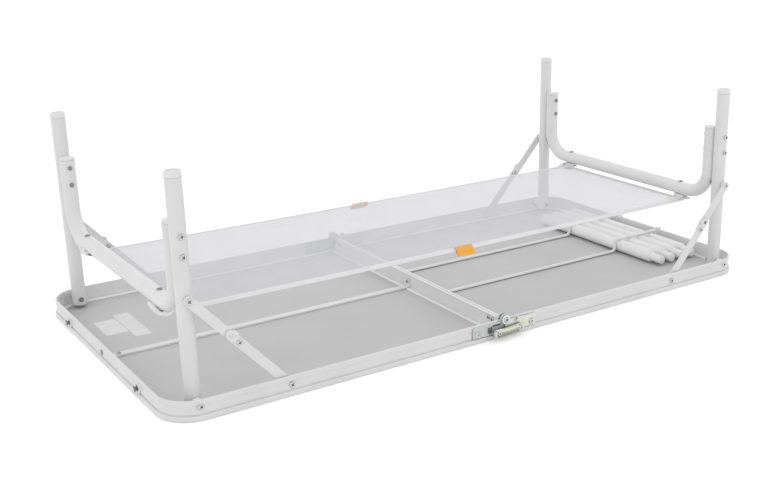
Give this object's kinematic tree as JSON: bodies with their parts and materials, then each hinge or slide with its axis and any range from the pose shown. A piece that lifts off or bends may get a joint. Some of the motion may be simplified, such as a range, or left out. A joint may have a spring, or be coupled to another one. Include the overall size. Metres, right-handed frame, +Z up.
{
  "type": "folding table",
  "caption": "Folding camping table lying on its top with its legs up: hinged halves, leg stretchers, folding braces, a hung net and stored extension legs.",
  "frame": {"origin": "centre of the bounding box's bottom face, on the floor that the table top lies on", "axes": "+X along the table towards the half with the stored extension legs, +Y across it, +Z up along the raised legs"},
  "size_m": [1.2214, 0.6234, 0.3711],
  "materials": {
    "frame_white": "white coated",
    "board_grey": "grey laminate",
    "tube_white": "white coated",
    "plastic_white": "matte",
    "zinc_plate": "zinc plated",
    "latch_zinc": "zinc plated",
    "dark_steel": "dark plated",
    "grip_grey": "matte",
    "net_white": "woven"
  },
  "bodies": {
    "left_half": {"left_board": "board_grey", "left_edge_frame": "frame_white", "left_centre_rail": "frame_white", "left_net": "net_white", "left_stiffener": "frame_white", "left_near_pivot_bush": "plastic_white", "left_near_outer_hinge_plate": "zinc_plate", "left_near_inner_hinge_plate": "zinc_plate", "near_hinge_pin": "zinc_plate", "near_closing_stud": "dark_steel", "left_far_pivot_bush": "plastic_white", "left_far_outer_hinge_plate": "zinc_plate", "left_far_inner_hinge_plate": "zinc_plate", "far_hinge_pin": "zinc_plate", "far_closing_stud": "dark_steel"},
    "right_half": {"right_board": "board_grey", "right_edge_frame": "frame_white", "right_centre_rail": "frame_white", "right_net": "net_white", "handle_bracket": "tube_white", "right_near_pivot_bush": "plastic_white", "right_near_outer_hinge_plate": "zinc_plate", "right_near_inner_hinge_plate": "zinc_plate", "near_storage_wire": "tube_white", "right_far_pivot_bush": "plastic_white", "right_far_outer_hinge_plate": "zinc_plate", "right_far_inner_hinge_plate": "zinc_plate", "far_storage_wire": "tube_white", "extension_leg_1": "tube_white", "extension_leg_2": "tube_white", "extension_leg_3": "tube_white", "extension_leg_4": "tube_white"},
    "left_legs": {"left_stretcher": "tube_white", "left_near_leg": "tube_white", "left_near_foot_socket": "plastic_white", "left_near_net_hook": "plastic_white", "left_far_leg": "tube_white", "left_far_foot_socket": "plastic_white", "left_far_net_hook": "plastic_white"},
    "left_lower_braces": {"left_near_lower_brace": "tube_white", "left_far_lower_brace": "tube_white"},
    "left_upper_braces": {"left_near_upper_brace": "tube_white", "left_far_upper_brace": "tube_white"},
    "right_legs": {"right_stretcher": "tube_white", "right_near_leg": "tube_white", "right_near_foot_socket": "plastic_white", "right_near_net_hook": "plastic_white", "right_far_leg": "tube_white", "right_far_foot_socket": "plastic_white", "right_far_net_hook": "plastic_white"},
    "right_lower_braces": {"right_near_lower_brace": "tube_white", "right_far_lower_brace": "tube_white"},
    "right_upper_braces": {"right_near_upper_brace": "tube_white", "right_far_upper_brace": "tube_white"},
    "near_latch": {"near_latch_lever": "latch_zinc"},
    "far_latch": {"far_latch_lever": "latch_zinc"},
    "near_hook": {"near_closing_hook": "dark_steel"},
    "far_hook": {"far_closing_hook": "dark_steel"},
    "handle": {"carry_handle": "grip_grey"}
  },
  "joints": [
    {"name": "table_fold", "type": "hinge", "parent": "left_half", "child": "right_half", "pos_m": [0, 0, 0.0334], "axis": [0, -1, 0], "range_deg": [0, 155], "deforming": ["left_net", "right_net"]},
    {"name": "left_leg_fold", "type": "hinge", "parent": "left_half", "child": "left_legs", "pos_m": [-0.553, 0, 0.0225], "axis": [0, 1, 0], "range_deg": [0, 89.3]},
    {"name": "left_lower_brace_fold", "type": "hinge", "parent": "left_half", "child": "left_lower_braces", "pos_m": [-0.406, 0, 0.0185], "axis": [0, 1, 0], "range_deg": [0, 128.41]},
    {"name": "left_upper_brace_fold", "type": "hinge", "parent": "left_legs", "child": "left_upper_braces", "pos_m": [-0.55509, 0, 0.18199], "axis": [0, -1, 0], "range_deg": [0, 136.93]},
    {"name": "right_leg_fold", "type": "hinge", "parent": "right_half", "child": "right_legs", "pos_m": [0.553, 0, 0.0225], "axis": [0, -1, 0], "range_deg": [0, 89.3]},
    {"name": "right_lower_brace_fold", "type": "hinge", "parent": "right_half", "child": "right_lower_braces", "pos_m": [0.406, 0, 0.0185], "axis": [0, -1, 0], "range_deg": [0, 128.41]},
    {"name": "right_upper_brace_fold", "type": "hinge", "parent": "right_legs", "child": "right_upper_braces", "pos_m": [0.55509, 0, 0.18199], "axis": [0, 1, 0], "range_deg": [0, 136.93]},
    {"name": "near_latch_turn", "type": "hinge", "parent": "right_half", "child": "near_latch", "pos_m": [0.027, 0, 0.0145], "axis": [0, -1, 0], "range_deg": [0, 9.35]},
    {"name": "far_latch_turn", "type": "hinge", "parent": "right_half", "child": "far_latch", "pos_m": [0.027, 0, 0.0145], "axis": [0, -1, 0], "range_deg": [0, 9.35]},
    {"name": "near_hook_swing", "type": "hinge", "parent": "right_half", "child": "near_hook", "pos_m": [0.6, -0.17, 0.0165], "axis": [1, 0, 0], "range_deg": [0, 90]},
    {"name": "far_hook_swing", "type": "hinge", "parent": "right_half", "child": "far_hook", "pos_m": [0.6, 0.17, 0.0165], "axis": [-1, 0, 0], "range_deg": [0, 90]},
    {"name": "handle_swing", "type": "hinge", "parent": "right_half", "child": "handle", "pos_m": [0.6062, 0, 0.028], "axis": [0, -1, 0], "range_deg": [0, 170]}
  ],
  "couplings": [
    {"joint": "left_leg_fold", "follows": "table_fold", "ratio": 0.57581},
    {"joint": "left_lower_brace_fold", "follows": "table_fold", "ratio": 0.82815},
    {"joint": "left_upper_brace_fold", "follows": "table_fold", "ratio": 0.8831},
    {"joint": "right_leg_fold", "follows": "table_fold", "ratio": 0.57581},
    {"joint": "right_lower_brace_fold", "follows": "table_fold", "ratio": 0.82815},
    {"joint": "right_upper_brace_fold", "follows": "table_fold", "ratio": 0.8831},
    {"joint": "near_latch_turn", "follows": "table_fold", "ratio": 0.06},
    {"joint": "far_latch_turn", "follows": "table_fold", "ratio": 0.06}
  ]
}
